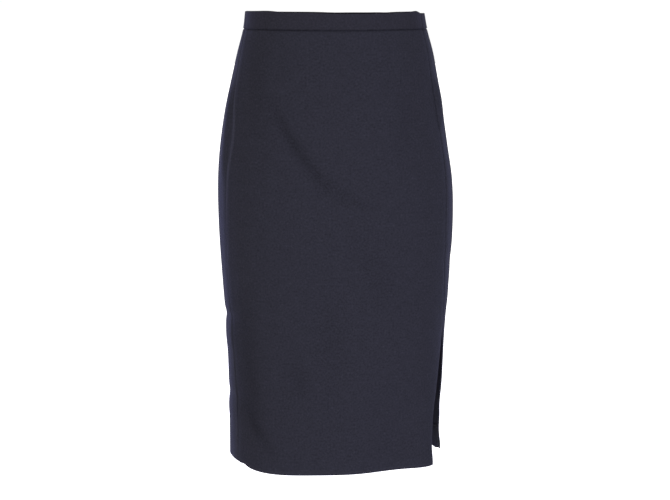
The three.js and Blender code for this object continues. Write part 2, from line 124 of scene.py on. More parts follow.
# In widths of a crease: how far away its lip and the darkest line of its painted shade lie, how wide its
# gentle side is, and how far out it is worked out. Then the share of its taper that its ends leave out, the
# depth whose painted shade darkens by 1, and the steps along its line.
LIP_AWAY = 1.9
DARK_AWAY = 0.25
GENTLE_SIDE = 2.2
CREASE_REACH = 5
CREASE_END = 0.12
DEEPEST_CREASE = 3
CREASE_STEPS = 28

# How much lighter than their faces the panels are inside, and how dark the painted shade is inside the band
# and inside the slit's back edge, where little light reaches
INSIDE_TONE = 0.5
BAND_INSIDE_PAINTED_SHADE = -0.8
SLIT_INSIDE_PAINTED_SHADE = -1.5

# Soft waves in the outline: the wearer's side, height, how far out and over what reach
Wave = namedtuple("Wave", "hand z out reach")
WAVES = (
    Wave(-1, -115, 0.8, 45),
    Wave(-1, -454, -1.9, 9),
    Wave(-1, -488, 1.3, 20),
    Wave(-1, -580, -1.2, 9),
    Wave(-1, -604, 0.8, 13),
    Wave(1, -130, 1.1, 22),
    Wave(1, -265, 0.6, 40),
    Wave(1, -370, -0.8, 14),
    Wave(1, -430, 0.5, 14),
    Wave(1, -622, 1.2, 16),
    Wave(1, -672, 1.3, 12),
)
WAVE_FROM, WAVE_TO = 0.84, 0.96

# Fuller corners just behind the side seams: the wearer's side, height, reach, how far out, and how far behind
# the seam
Corner = namedtuple("Corner", "hand z reach out behind")
CORNERS = (
    Corner(-1, -176, 66, 3.1, 14),
    Corner(-1, -600, 90, 0.9, 14),
    Corner(1, -132, 34, 3.0, 15),
)
CORNER_WIDTH = 11

# Fine steps of the mesh next to an edge, a seam or a dart, its columns from a dart to the middle of the back,
# and the places where each ring's length is measured
EDGE_STEPS = (0.0, 0.12, 0.32, 0.65, 1.1, 1.7, 2.6, 4.0)
DART_STEPS = (-3.2, -2.0, -1.2, -0.6, -0.25, 0.0, 0.25, 0.6, 1.2, 2.0, 3.2)
DART_COLUMNS = 22
ARC_STEPS = 480

# The band's mesh and its ends. Neighbouring pieces run into each other by the overlap. At the zip the ends
# stay apart by a gap, and meet above the slider's neck. The shift fades along the band over a reach.
BAND_STEP, BAND_COLUMNS = 1.6, 110
OVERLAP = 0.08
ZIP_GAP = -0.45
ENDS_MEET = 0.03
ENDS_MEET_SPAN = (-7.2, -6.0)
ENDS_REACH = 6

# A panel: the heights of its seam and of its rows tucked up inside the band, its unevenness, how deep each
# kind of edge is pressed in and how dark the painted shade along its line is, and the layers that make it
# thicker inside
SEAM_UP = 0.4
TUCKED_UP = (4, 2.4, 1.2)
RIPPLE_DEPTH = 0.35
HEM_SAG_REACH = 70
HEM_WAVE, HEM_WAVE_REACH = 0.5, 150
EDGE_PRESS = {"seam": (0.6, 0.2), "slit": (0.6, 0.2), "flat seam": (0.2, 0.0)}
# The darts: how deep their line is pressed in, how far the cloth swells beside it, and its painted shade
DART_PRESS, DART_SWELL, DART_PAINTED_SHADE = 0.55, 0.35, 0.5
ALLOWANCE_LAYER, HEM_LAYER = 0.8, 0.9
# How strongly the creases' painted shade darkens the cloth
CREASE_PAINTED_SHADE = 0.75

# Each panel's flat size in metres, from the model's own surface
FRONT_FLAT = (0.372, 0.663)
BACK_LEFT_FLAT = (0.310, 0.664)
BACK_RIGHT_FLAT = (0.313, 0.670)

# The lows and highs along the waistband's top edge, in millimetres
BandDip = namedtuple("BandDip", "sides x down reach")
BAND_DIPS = (
    BandDip(("front",), 118, -1.05, 6.5),
    BandDip(("front",), 45, 1.6, 50),
    BandDip(("front",), -110, -0.9, 28),
    BandDip(("front",), -96, -0.9, 15),
    BandDip(("back",), 50, 0.9, 50),
    BandDip(("front", "back"), -2, 0.65, 22),
    BandDip(("front", "back"), 79, 0.45, 10),
)

# The zip. Its tapes lie behind the band and, lower down, behind the thinner panels. The slider's outer face
# lies 6.6 inward of the hinge: the hinge's own 2.6, the band's 2.4 and 1.6 for the tapes and their gaps.
ZIP_TOP = -2.0
UNDER_BAND = (26, 34)
UNDER_PANEL = 1.2
TAPE_CLEARANCE = 0.3
TAPE_FOLD, TAPE_REACH = 0.7, 11.7
TAPE_WALL = 0.55
TAPE_STEP, TAPE_COLUMNS = 2.5, 33
TOOTH_SIDES, TOOTH_RINGS = 6, 7
SLIDER_BOTTOM = -14.7
SLIDER_FACE = -6.6
SLIDER_DEPTH = 2.6
SLIDER_OUTLINE = (
    (-1.9, -6.5), (1.9, -6.5), (3.2, 1.5), (2.9, 2.8), (1.7, 3.5), (-1.7, 3.5), (-2.9, 2.8), (-3.2, 1.5))
BAIL_OUT, BAIL_HOLE, BAIL_HALF = 2.3, 1.3, 0.4
PULL_HALF = 0.6
PULL_SLOT = ((-1.3, -0.6), (1.3, -0.6), (1.3, -3.2), (0.9, -3.6), (-0.9, -3.6), (-1.3, -3.2))
BAND_LEAN = math.atan((97 - 94) / 25)
PULL_REST = math.radians(2.5)

# The overlocked edge of the hem: its line under the hem's top, how far its stitches stand off the cloth, go
# up and down and lie apart, and its thread
OVERLOCK_UNDER, OVERLOCK_OUT, OVERLOCK_UP, OVERLOCK_DOWN, OVERLOCK_STEP = 1.4, 0.25, 2.6, 0.8, 1.3
OVERLOCK_FROM_SEAM = 2.0
THREAD_RADIUS, THREAD_SIDES = 0.2, 4

# Each cloth: its colour, its ribs' pitch against the setting, its weave's relief and its share of flecks
Cloth = namedtuple("Cloth", "colour pitch relief flecks")
CLOTHS = {
    "navy suiting": Cloth("colour", 1, 0.55, 0.12),
    "navy band suiting": Cloth("band_colour", 1, 0.5, 0.1),
    "navy zip tape": Cloth("tape_colour", 1.4, 0.7, 0.1),
}
# Each hard finish: its colour, roughness, share of metal and grain
Hard = namedtuple("Hard", "colour roughness metallic grain")
HARD_FINISHES = {
    "navy enamel": Hard("enamel_colour", 0.35, 0.3, 0.15),
    "navy nylon": Hard("tape_colour", 0.42, 0.0, 0.3),
    "navy thread": Hard("thread_colour", 0.7, 0.0, 0.6),
}
CLOTH_BUMP, HARD_BUMP = 0.00012, 0.00004

# The lights, in metres: each one's name, power setting, place, height of its aim, width and colour
LIGHTS = (
    ("key light", "key", (0.3, -3.2, -0.45), -0.35, 1.5, (0.95, 0.96, 1.04)),
    ("front light", "front", (2.3, -2.2, -0.6), -0.4, 1.2, (0.32, 0.38, 1.0)),
    ("right side light", "right_rim", (-1.9, 1.9, -0.55), -0.35, 1.2, (0.44, 0.46, 1.0)),
    ("left side light", "left_rim", (1.9, 1.9, -0.55), -0.35, 1.2, (0.44, 0.46, 1.0)),
)
FLOOR_HALF = 30.0
AMBIENT_TINT = (1.04, 1.0, 0.95)

# What each panel leaves for the sewing inside it: its grid and the points of its inner face
INSIDES = {}


def value_at(column, z):
    """A smooth value of one column of RINGS at each height of z."""
    heights = np.array([ring.z for ring in RINGS], float)
    values = np.array([getattr(ring, column) for ring in RINGS], float)
    z = np.clip(np.asarray(z, float), heights[-1], heights[0])
    last = len(heights) - 1
    low = np.maximum(np.arange(last + 1) - 1, 0)
    high = np.minimum(np.arange(last + 1) + 1, last)
    slope = (values[high] - values[low]) / (heights[high] - heights[low])
    i = np.clip(np.searchsorted(-heights, -z, side="right") - 1, 0, last - 1)
    span = heights[i + 1] - heights[i]
    t = (z - heights[i]) / span
    ends = values[i] * (1 + 2 * t) * (1 - t) ** 2 + values[i + 1] * t * t * (3 - 2 * t)
    return ends + span * (slope[i] * t * (1 - t) ** 2 - slope[i + 1] * t * t * (1 - t))


def smooth(value, low, high):
    """0 under low, 1 over high, and a smooth rise between."""
    t = np.clip((value - low) / (high - low), 0, 1)
    return t * t * (3 - 2 * t)


def hump(value, middle, reach, power=2):
    """1 at the middle, and falling smoothly to 0 past the reach. A higher power gives a flatter top."""
    return np.exp(-(((value - middle) / reach) ** power))


def size(name):
    """One of the skirt's sizes, in millimetres."""
    return getattr(bpy.context.scene.skirt_sizes, name) / MM


def ring_point(z, angle):
    """x and y of the plain ring. Angle 0 is the centre front and a quarter turn is the wearer's left."""
    side, ahead = np.sin(angle), np.cos(angle)
    square = np.where(ahead > 0, value_at("front_square", z), value_at("back_square", z))
    wide = np.where(side > 0, value_at("left", z), value_at("right", z))
    deep = np.where(ahead > 0, value_at("front", z), value_at("back", z))
    x = wide * np.sign(side) * np.abs(side) ** (2 / square)
    y = -deep * np.sign(ahead) * np.abs(ahead) ** (2 / square)
    return x, y


def angle_of_share(share, z):
    """The angle of a place that is so far out, as a share of the half width."""
    return np.arcsin(share ** (value_at("front_square", z) / 2))


def slit_share(z):
    """How far the slit has opened at a height, from 0 at its top to 1 at the hem."""
    length, slit = size("length"), size("slit_length")
    return np.clip((-np.asarray(z, float) - (length - slit)) / slit, 0, 1)


# Where the edges of the pieces lie, as angles at each height


def right_seam_angle(z):
    """The right side seam."""
    return -angle_of_share(value_at("right_seam", z), z)


def left_seam_angle(z):
    """The left side seam, as if the slit were closed."""
    return angle_of_share(value_at("left_seam", z), z)


def front_edge_angle(z):
    """The front panel's left edge, which the open slit draws in."""
    drawn_in = FRONT_EDGE_DRAW * np.sin(math.pi / 2 * slit_share(z))
    return angle_of_share(value_at("left_seam", z) - drawn_in, z)


def back_edge_angle(z):
    """The back panel's left edge, which turns back as the slit opens."""
    return left_seam_angle(z) + BACK_EDGE_TURN * slit_share(z) ** BACK_EDGE_TURN_POWER


def middle_from_left(z):
    """The centre back, reached past the left."""
    return np.full(np.shape(z), math.pi)


def middle_from_right(z):
    """The centre back, reached past the right."""
    return np.full(np.shape(z), -math.pi)


def waist_lift(angle):
    """How far the waist stands higher at the sides and the back than in front."""
    sideways = np.sin(angle) ** 2
    behind = WAIST_LIFT_BACK + (WAIST_LIFT_SIDE - WAIST_LIFT_BACK) * sideways
    return np.where(np.cos(angle) > 0, WAIST_LIFT_SIDE * sideways, behind)


def hem_rise(angle, side, hem):
    """How far the hem stands higher than in front: behind, at the right side seam and by the slit."""
    behind = HEM_RISE_BACK * smooth(-np.cos(angle), 0.1, 1)
    radius = value_at("front", hem)
    from_right = (angle - right_seam_angle(hem) + SIDE_HITCH_BEHIND) * radius
    rise = behind + SIDE_HITCH * hump(from_right, 0, SIDE_HITCH_REACH)
    if side == "back":
        from_slit = (angle - back_edge_angle(hem)) * radius
        rise = rise + SLIT_HITCH * hump(from_slit, 0, SLIT_HITCH_REACH)
    return rise


def cloth_points(side, z, angle, share):
    """Points of a piece's face before its creases, from heights, angles and shares of the way across."""
    length = size("length")
    x, y = ring_point(z, angle)
    opened = slit_share(z)
    opened = opened * opened * (3 - 2 * opened)
    if side == "front":
        across = np.clip((share - FLATTEN_FROM) / (1 - FLATTEN_FROM), 0, 1)
        y = y + FRONT_EDGE_FLATTEN * opened * np.sin(math.pi * across ** FLATTEN_POWER) ** 2
    else:
        belly = BACK_EDGE_BELLY * opened * np.sin(angle) ** 2 * (1 - share) * share * 4
        y = y + np.where(angle > 0, belly, 0)
    near_waist = smooth(z, -WAIST_LIFT_REACH, 0)
    near_hem = smooth(-z, length - HEM_RISE_REACH, length)
    lifted = z + waist_lift(angle) * near_waist + hem_rise(angle, side, -length) * near_hem
    return np.stack([x, y, lifted], axis=-1)


def crease_depth(side, x, z):
    """How deep the creases press in at points of the front or the back, and how dark their painted shade is.
    """
    depth, shade = np.zeros(x.shape), np.zeros(x.shape)
    along = np.linspace(0, 1, CREASE_STEPS)
    for crease in (row for row in CREASES if row.side == side):
        start, bend, end = (np.array(p, float) for p in (crease.start, crease.bend, crease.end))
        line = ((1 - along) ** 2)[:, None] * start + (2 * along * (1 - along))[:, None] * bend
        line = line + (along**2)[:, None] * end
        reach = crease.width * CREASE_REACH
        low, high = line.min(0) - reach, line.max(0) + reach
        near = (x > low[0]) & (x < high[0]) & (z > low[1]) & (z < high[1])
        if not near.any():
            continue
        here = np.stack([x[near], z[near]], axis=-1)
        squared = ((here[:, None, :] - line[None]) ** 2).sum(-1)
        nearest = squared.argmin(1)
        aside = np.sqrt(squared[np.arange(len(here)), nearest])
        step = line[np.minimum(nearest + 1, CREASE_STEPS - 1)] - line[np.maximum(nearest - 1, 0)]
        away = here - line[nearest]
        sign = np.sign(step[:, 0] * away[:, 1] - step[:, 1] * away[:, 0])
        taper = np.sin(math.pi * (CREASE_END + (1 - 2 * CREASE_END) * along[nearest]))
        width = np.where(sign > 0, crease.width, crease.width * GENTLE_SIDE)
        place = sign * aside / crease.width
        depth[near] += crease.depth * taper * (hump(aside, 0, width) - crease.lip * hump(place, LIP_AWAY, 1))
        # Painted shade: the cloth's colour darkens along the crease, where shade would fall
        shade[near] += crease.depth / DEEPEST_CREASE * taper * hump(place, DARK_AWAY, 1)
    return depth, shade


def side_waves(x, z):
    """How far the outline's waves move a point out."""
    out = np.zeros(x.shape)
    for wave in WAVES:
        near = smooth(wave.hand * x / value_at("left" if wave.hand > 0 else "right", z), WAVE_FROM, WAVE_TO)
        out += near * wave.out * hump(z, wave.z, wave.reach)
    return out


def corner_fullness(hand, behind, z):
    """How far the cloth stands out at a distance behind one side seam."""
    out = np.zeros(z.shape)
    for corner in (row for row in CORNERS if row.hand == hand):
        level = hump(z, corner.z, corner.reach, 4)
        out += level * corner.out * hump(behind, corner.behind, CORNER_WIDTH)
    return out


def hem_sag(x):
    """How far the hem's two halves sag, with a small kink just in front of the right side seam."""
    return 0.8 * hump(x, 65, 55) + 2.9 * hump(x, -95, 70) * (1 - hump(x, -137, 4.8))


def ripple(across, down):
    """A slow unevenness that all hanging cloth has, about 1 at most."""
    first = np.sin(across / 31 + 1.3 * np.sin(down / 97 + 0.4))
    second = np.sin(across / 17.3 + down / 143 + 2.1)
    third = np.sin(down / 41 + across / 83 + 0.7)
    return 0.5 * first + 0.25 * second + 0.25 * third


def fold_round(distance, radius):
    """How far a face falls away next to a folded edge, as a quarter round."""
    inside = np.clip(radius - distance, 0, radius)
    return radius - np.sqrt(radius**2 - inside**2)


def grid_normals(points):
    """Outward normals of a grid whose rows run down and whose columns run anticlockwise from above."""
    down = np.gradient(points, axis=0, edge_order=2)
    across = np.gradient(points, axis=1, edge_order=2)
    normals = np.cross(down, across)
    return normals / np.linalg.norm(normals, axis=-1, keepdims=True)


def places(length, step_count, overlap, dart=None):
    """Arc places across one ring: fine steps at both ends, and round a dart that lies so far from one end."""
    first, last = -overlap, length + overlap
    starts = [first + step for step in EDGE_STEPS]
    ends = [last - step for step in reversed(EDGE_STEPS)]
    if dart is None:
        return np.concatenate([starts, np.linspace(starts[-1], ends[0], step_count)[1:-1], ends])
    middle = first + dart if dart > 0 else last + dart
    cluster = [middle + step for step in DART_STEPS]
    before = DART_COLUMNS if dart > 0 else step_count - DART_COLUMNS
    return np.concatenate([
        starts,
        np.linspace(starts[-1], cluster[0], before)[1:-1],
        cluster,
        np.linspace(cluster[-1], ends[0], step_count - before)[1:-1],
        ends,
    ])


# The outer face of a piece: its rows run down and its columns anticlockwise from above. lay is the cloth's
# own coordinates, and the rest are each point's distances to the piece's four edges, and its height.
Grid = namedtuple("Grid", "points normals lay from_start to_end top bottom z")


def cloth_grid(side, heights, from_angle, to_angle, step_count, overlap, dart=None):
    """The outer face of a piece as a grid, with each point's distances to the piece's edges."""
    z = np.asarray(heights, float)
    starts, stops = from_angle(z), to_angle(z)
    angles, arcs, lengths, zero = [], [], [], []
    for height, start, stop in zip(z, starts, stops):
        fine = np.linspace(start, stop, ARC_STEPS)
        x, y = ring_point(np.full(ARC_STEPS, height), fine)
        reached = np.concatenate([[0], np.cumsum(np.hypot(np.diff(x), np.diff(y)))])
        row = places(reached[-1], step_count, overlap, dart)
        inside = np.interp(row, reached, fine)
        before, after = row < 0, row > reached[-1]
        per_mm = (fine[1] - fine[0]) / (reached[1] - reached[0])
        inside[before] = start + row[before] * per_mm
        per_mm = (fine[-1] - fine[-2]) / (reached[-1] - reached[-2])
        inside[after] = stop + (row[after] - reached[-1]) * per_mm
        angles.append(inside)
        arcs.append(row)
        lengths.append(reached[-1])
        middle = 0 if side == "front" else (stop if stop > 0 else start)
        zero.append(np.interp(middle, fine, reached))
    angles, arcs, lengths = np.array(angles), np.array(arcs), np.array(lengths)[:, None]
    tall = np.repeat(z[:, None], angles.shape[1], axis=1)
    share = np.clip(arcs / lengths, 0, 1)
    points = cloth_points(side, tall, angles, share)
    lay = np.stack([arcs - np.array(zero)[:, None], tall, np.zeros_like(tall)], axis=-1)
    return Grid(points, grid_normals(points), lay, arcs, lengths - arcs, z[0] - tall, tall - z[-1], tall)


def new_object(name, data, material=None):
    """An object in the scene, of a mesh with its material, a camera or a light."""
    if material:
        data.materials.append(material)
    made = bpy.data.objects.new(name, data)
    bpy.context.scene.collection.objects.link(made)
    return made


def mesh_object(name, points, faces, material, lay=None, tone=None):
    """A smooth-shaded object from points in millimetres, with the cloth's own coordinates if it has them."""
    mesh = bpy.data.meshes.new(name)
    mesh.from_pydata((np.asarray(points) * MM).tolist(), [], faces)
    mesh.validate()
    mesh.shade_smooth()
    if lay is not None:
        data = mesh.attributes.new("lay", "FLOAT_VECTOR", "POINT").data
        data.foreach_set("vector", (lay * MM).astype(np.float32).ravel())
        data = mesh.attributes.new("tone", "FLOAT", "POINT").data
        data.foreach_set("value", tone.astype(np.float32))
    return new_object(name, mesh, material)


def wall_faces(rows, columns):
    """The faces of a closed wall between two grids of points, the outer grid first."""
    count = rows * columns
    index = np.arange(count).reshape(rows, columns)
    a, b, c, d = index[:-1, :-1], index[1:, :-1], index[1:, 1:], index[:-1, 1:]
    sheets = [np.stack([a, b, c, d], -1).reshape(-1, 4), np.stack([a, d, c, b], -1).reshape(-1, 4) + count]

    def rim(line, turned):
        ends = np.stack([line[:-1], line[:-1] + count, line[1:] + count, line[1:]], -1)
        return ends[:, ::-1] if turned else ends

    rims = [rim(index[:, 0], False), rim(index[:, -1], True), rim(index[0], True), rim(index[-1], False)]
    return np.concatenate(sheets + rims).tolist()


def wall_object(name, grid, lift, thickness, rounding, tone, inner_tone, material):
    """A closed cloth wall: the grid's face moved out by lift, and a second face inside it. Returns both."""
    outer = grid.points + grid.normals * (lift - rounding)[..., None]
    inner = grid.points + grid.normals * (lift - thickness + rounding)[..., None]
    points = np.concatenate([outer.reshape(-1, 3), inner.reshape(-1, 3)])
    lay = np.concatenate([grid.lay.reshape(-1, 3)] * 2)
    tones = np.concatenate([tone.ravel(), inner_tone.ravel()])
    return mesh_object(name, points, wall_faces(*grid.z.shape), material, lay, tones), inner


def tube_faces(rings, sides, start=0):
    """The faces of a tube through rings of points, with a cap at each end."""
    faces = []
    for i in range(rings - 1):
        for j in range(sides):
            a, b = start + i * sides + j, start + i * sides + (j + 1) % sides
            faces.append((a, b, b + sides, a + sides))
    faces.append(tuple(start + j for j in reversed(range(sides))))
    faces.append(tuple(start + (rings - 1) * sides + j for j in range(sides)))
    return faces


def row_heights(top, bottom, step):
    """Heights from top to bottom with fine steps at both ends."""
    starts = [top - s for s in EDGE_STEPS]
    ends = [bottom + s for s in reversed(EDGE_STEPS)]
    count = max(int((starts[-1] - ends[0]) / step), 2) + 1
    return np.concatenate([starts, np.linspace(starts[-1], ends[0], count)[1:-1], ends])


# Materials


def set_inputs(node, inputs):
    """Sets a node's inputs, by name or number, each to a value or to a link from another node's output."""
    for label, value in inputs.items():
        if isinstance(value, bpy.types.NodeSocket):
            node.id_data.links.new(value, node.inputs[label])
        else:
            node.inputs[label].default_value = value


def new_node(tree, kind, inputs=None, **settings):
    """A node with its own settings and its inputs."""
    node = tree.nodes.new(kind)
    for name, value in settings.items():
        setattr(node, name, value)
    set_inputs(node, inputs or {})
    return node


def new_group(name, inputs, outputs):
    """A shader node group and its two end nodes. An input with no value is a vector, the rest are floats."""
    group = bpy.data.node_groups.new(name, "ShaderNodeTree")
    for label, value in inputs.items():
        kind = "NodeSocketVector" if value is None else "NodeSocketFloat"
        socket = group.interface.new_socket(label, in_out="INPUT", socket_type=kind)
        if value is not None:
            socket.default_value = value
    for label in outputs:
        group.interface.new_socket(label, in_out="OUTPUT", socket_type="NodeSocketFloat")
    return group, group.nodes.new("NodeGroupInput"), group.nodes.new("NodeGroupOutput")


def math_node(tree, operation, *operands):
    """The output of a Math node whose operands are outputs or numbers."""
    return new_node(tree, "ShaderNodeMath", dict(enumerate(operands)), operation=operation).outputs[0]


def noise_node(tree, vector, scale, detail, roughness=0.55):
    """A noise, about 0 to 1."""
    inputs = {"Vector": vector, "Scale": scale, "Detail": detail, "Roughness": roughness}
    return new_node(tree, "ShaderNodeTexNoise", inputs).outputs["Fac"]


def two_colours(tree, factor, dark, light):
    """A mix of two colours."""
    inputs = {"Factor": factor, "A": (*dark, 1), "B": (*light, 1)}
    return new_node(tree, "ShaderNodeMix", inputs, data_type="RGBA").outputs["Result"]


def bump_normal(tree, height, strength, distance):
    """A normal that a height tilts."""
    inputs = {"Height": height, "Strength": strength, "Distance": distance}
    return new_node(tree, "ShaderNodeBump", inputs).outputs["Normal"]


def twill_group():
    """Slanting ribs of a twill, as a height and as a mask of the threads that stand up."""
    name = "Twill weave"
    if name in bpy.data.node_groups:
        return bpy.data.node_groups[name]
    group, source, sink = new_group(name, {"Lay": None, "Pitch": 0.0008}, ("Height", "Thread"))
    parts = new_node(group, "ShaderNodeSeparateXYZ", {0: source.outputs["Lay"]})
    turn = math_node(group, "DIVIDE", math.tau, source.outputs["Pitch"])
    across = math_node(group, "MULTIPLY", parts.outputs["X"], turn)
    down = math_node(group, "MULTIPLY", parts.outputs["Y"], turn)
    slant = math_node(group, "MULTIPLY_ADD", down, 0.62, across)
    rib = math_node(group, "MULTIPLY_ADD", math_node(group, "SINE", slant), 0.5, 0.5)
    cross = math_node(group, "MULTIPLY_ADD", across, -1.0, math_node(group, "MULTIPLY", down, 1.6))
    pick = math_node(group, "MULTIPLY_ADD", math_node(group, "SINE", cross), 0.5, 0.5)
    thread = math_node(group, "MULTIPLY", rib, math_node(group, "MULTIPLY_ADD", pick, 0.45, 0.55))
    set_inputs(sink, {"Height": math_node(group, "POWER", thread, 0.8), "Thread": thread})
    return group


def mottle_group():
    """Uneven dye and nap: a slow and a fine noise added, and flecks where the fine one is high."""
    name = "Mottled yarn"
    if name in bpy.data.node_groups:
        return bpy.data.node_groups[name]
    inputs = {"Lay": None, "Slow Scale": 60.0, "Fine Scale": 340.0}
    group, source, sink = new_group(name, inputs, ("Value", "Fleck"))
    slow = noise_node(group, source.outputs["Lay"], source.outputs["Slow Scale"], 3)
    fine = noise_node(group, source.outputs["Lay"], source.outputs["Fine Scale"], 1.5, 0.5)
    slow_part, fine_part = math_node(group, "MULTIPLY", slow, 0.2), math_node(group, "MULTIPLY", fine, 0.8)
    above = math_node(group, "MULTIPLY", math_node(group, "SUBTRACT", fine, 0.66), 9.0)
    fleck = math_node(group, "MAXIMUM", math_node(group, "SMOOTH_MIN", above, 1.0, 0.1), 0.0)
    set_inputs(sink, {"Value": math_node(group, "ADD", slow_part, fine_part), "Fleck": fleck})
    return group


def new_material(name, inputs):
    """A material, its tree and its Principled BSDF, with the shader's inputs set."""
    material = bpy.data.materials.new(name)
    material.use_nodes = True
    shader = material.node_tree.nodes["Principled BSDF"]
    set_inputs(shader, inputs)
    return material, material.node_tree, shader


def cloth_material(name):
    """Woven cloth: mottled twill yarn, lighter where an edge is worn, with painted shade and highlights, and
    a sheen from its nap.
    """
    if name in bpy.data.materials:
        return bpy.data.materials[name]
    finish, cloth = bpy.context.scene.cloth_finish, CLOTHS[name]
    material, tree, shader = new_material(name, {"Roughness": 0.82})
    lay = new_node(tree, "ShaderNodeAttribute", attribute_name="lay").outputs["Vector"]
    tone = new_node(tree, "ShaderNodeAttribute", attribute_name="tone").outputs["Fac"]
    inputs = {"Lay": lay, "Pitch": finish.twill_pitch * cloth.pitch}
    twill = new_node(tree, "ShaderNodeGroup", inputs, node_tree=twill_group())
    mottle = new_node(tree, "ShaderNodeGroup", {"Lay": lay}, node_tree=mottle_group())
    value = mottle.outputs["Value"]
    shade = math_node(tree, "MULTIPLY", twill.outputs["Thread"], 0.1)
    shade = math_node(tree, "MULTIPLY_ADD", value, 0.9, shade)
    # The tone attribute: wear on folded edges, painted shade in seams, creases and insides, and painted
    # highlights by the side seams
    shade = math_node(tree, "MULTIPLY_ADD", tone, finish.wear_and_painted_shade, shade)
    shade = math_node(tree, "MULTIPLY_ADD", mottle.outputs["Fleck"], cloth.flecks, shade)
    height = math_node(tree, "MULTIPLY_ADD", value, 0.8, twill.outputs["Height"])
    base = np.array(getattr(finish, cloth.colour)[:])
    set_inputs(shader, {
        "Base Color": two_colours(tree, shade, base * (1 - finish.mottling), base * (1 + finish.mottling)),
        "Roughness": math_node(tree, "MULTIPLY_ADD", value, 0.2, 0.72),
        "Specular IOR Level": finish.specular,
        "Sheen Weight": finish.sheen,
        "Sheen Roughness": finish.sheen_roughness,
        "Sheen Tint": (*finish.sheen_tint, 1),
        "Normal": bump_normal(tree, height, cloth.relief, CLOTH_BUMP),
    })
    return material


def hard_material(name):
    """Enamel, nylon or thread: one colour with a fine unevenness in its shine."""
    if name in bpy.data.materials:
        return bpy.data.materials[name]
    hard = HARD_FINISHES[name]
    material, tree, shader = new_material(name, {"Roughness": hard.roughness, "Metallic": hard.metallic})
    place = new_node(tree, "ShaderNodeTexCoord").outputs["Object"]
    inputs = {"Lay": place, "Slow Scale": 90.0, "Fine Scale": 1600.0}
    value = new_node(tree, "ShaderNodeGroup", inputs, node_tree=mottle_group()).outputs["Value"]
    base = np.array(getattr(bpy.context.scene.cloth_finish, hard.colour)[:])
    set_inputs(shader, {
        "Base Color": two_colours(tree, value, base * 0.8, base * 1.2),
        "Roughness": math_node(tree, "MULTIPLY_ADD", value, 0.25, hard.roughness - 0.12),
        "Normal": bump_normal(tree, value, hard.grain, HARD_BUMP),
    })
    return material


# Settings


def length_of(name, text, default):
    """A setting in metres."""
    return FloatProperty(name=name, description=text, default=default, unit="LENGTH")


def amount_of(name, text, default, subtype="NONE"):
    """A setting that is a plain amount, a share, an angle or a power."""
    return FloatProperty(name=name, description=text, default=default, subtype=subtype)


def colour_of(name, text, *default):
    """A setting that is a linear colour."""
    return FloatVectorProperty(name=name, description=text, default=default, subtype="COLOR")


class SkirtSizes(bpy.types.PropertyGroup):
    """The sizes of the skirt's cloth, in metres."""

    length: length_of("Length", "Finished length at the centre front", 0.68)
    band_height: length_of("Band Height", "Depth of the waistband", 0.025)
    band_wall: length_of("Band Wall", "Thickness of the doubled waistband", 0.0024)
    cloth_wall: length_of("Cloth Wall", "Thickness of one layer of cloth", 0.0011)
    hem_depth: length_of("Hem Depth", "Height of the turned-up hem", 0.035)
    allowance: length_of("Seam Allowance", "Width of cloth pressed open inside a seam", 0.012)
    slit_length: length_of("Slit Length", "Height of the slit in the left side seam", 0.21)
    mesh_step: length_of("Mesh Step", "Size of the cloth's mesh faces", 0.003)
    zip_length: length_of("Zip Length", "How far the zip reaches down", 0.205)
    tooth_pitch: length_of("Tooth Pitch", "Spacing of the zip's teeth", 0.0014)
    dart_length: length_of("Dart Length", "Length of the back darts", 0.125)
    dart_place: length_of("Dart Place", "Distance of each back dart from the middle", 0.062)


class ClothFinish(bpy.types.PropertyGroup):
    """Colours and finishes, as linear values."""

    colour: colour_of("Cloth", "Colour of the suiting", 0.0199, 0.0201, 0.0284)
    band_colour: colour_of("Waistband", "Colour of the waistband", 0.0199, 0.0195, 0.0271)
    tape_colour: colour_of("Zip Tape", "Colour of the zip's tape", 0.013, 0.013, 0.021)
    enamel_colour: colour_of("Enamel", "Colour of the slider and pull", 0.02, 0.02, 0.03)
    thread_colour: colour_of("Thread", "Colour of the sewing thread", 0.026, 0.026, 0.042)
    mottling: amount_of("Mottling", "How far the yarn's shade varies", 0.65, "FACTOR")
    # Scales the tone: the wear on folded edges, and the painted shade and painted highlights on the cloth
    wear_and_painted_shade: amount_of("Edge Wear", "How much lighter the folded edges are", 0.26, "FACTOR")
    specular: amount_of("Specular", "Shine of the yarn", 0.06, "FACTOR")
    sheen: amount_of("Sheen", "Strength of the nap's sheen", 0.02, "FACTOR")
    sheen_roughness: amount_of("Sheen Roughness", "Spread of the nap's sheen", 0.35, "FACTOR")
    sheen_tint: colour_of("Sheen Tint", "Colour of the nap's sheen", 0.62, 0.66, 1.0)
    twill_pitch: length_of("Twill Pitch", "Spacing of the twill's ribs", 0.0009)


class StageSettings(bpy.types.PropertyGroup):
    """Camera, floor and light."""

    distance: length_of("Distance", "From the camera to the waist", 2.4)
    tilt: amount_of("Tilt", "How far the camera looks down", math.radians(8.52), "ANGLE")
    focal: amount_of("Focal Length", "In pixels of the picture", 1584.0)
    picture_width: IntProperty(name="Picture Width", description="In pixels", default=670)
    floor_drop: length_of("Floor Drop", "Height of the waist above the floor", 1.02)
    white: amount_of("White", "Brightness of the surroundings as the camera sees them", 1.02)
    world: amount_of("World", "Brightness of the surroundings as light on the skirt", 0.66)
    key: amount_of("Key Light", "Power of the light in front", 66.0, "POWER")
    front: amount_of("Front Light", "Power of the cool light at the front left", 15.0, "POWER")
    right_rim: amount_of("Right Side Light", "Power of the light behind the skirt's right", 57.0, "POWER")
    left_rim: amount_of("Left Side Light", "Power of the light behind the skirt's left", 28.0, "POWER")


# Operators


def finish_piece(made, body, slot, *nodes):
    """Lets a piece ride on its body and stand for its nodes. Its slot is not used."""
    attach(made, body)
    if nodes:
        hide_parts(*nodes)
    return made


